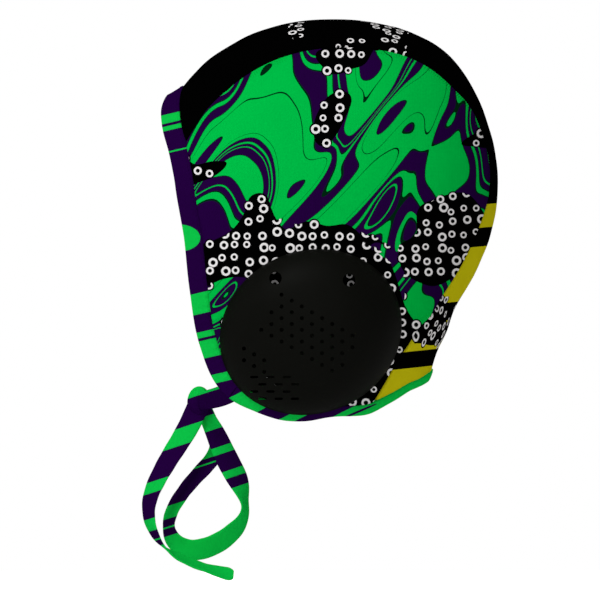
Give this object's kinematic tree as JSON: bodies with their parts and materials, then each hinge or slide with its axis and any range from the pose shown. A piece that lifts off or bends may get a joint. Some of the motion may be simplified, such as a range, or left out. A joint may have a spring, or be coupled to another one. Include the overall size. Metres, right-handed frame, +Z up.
{
  "type": "water polo cap",
  "caption": "Close-fitting stretch-cloth water polo cap with perforated moulded ear guards and a tape chin strap tied in a knot with a hanging loop and free end.",
  "frame": {"origin": "inner top of the crown on the mid-plane, where the cap sits on a head", "axes": "+Z up, the face opening towards -Y, the wearer's left towards +X"},
  "size_m": [0.1952, 0.2033, 0.3201],
  "materials": {
    "printed_cloth": "matt knitted stretch cloth with a green and purple print",
    "centre_cloth": "matt knitted stretch cloth, black with yellow slanting bars at the nape",
    "striped_tape": "matt stretch tape, purple with green slanting stripes, green on its back",
    "guard_plastic": "matt black moulded plastic"
  },
  "bodies": {
    "root": {"side_panel_left": "printed_cloth", "side_panel_right": "printed_cloth", "centre_panel": "centre_cloth", "face_binding": "striped_tape", "neck_binding": "striped_tape", "ear_guard_left": "guard_plastic", "ear_guard_right": "guard_plastic", "strap_left": "striped_tape", "strap_right": "striped_tape", "strap_knot": "striped_tape", "strap_loop": "striped_tape", "strap_free_end": "striped_tape"}
  },
  "joints": []
}
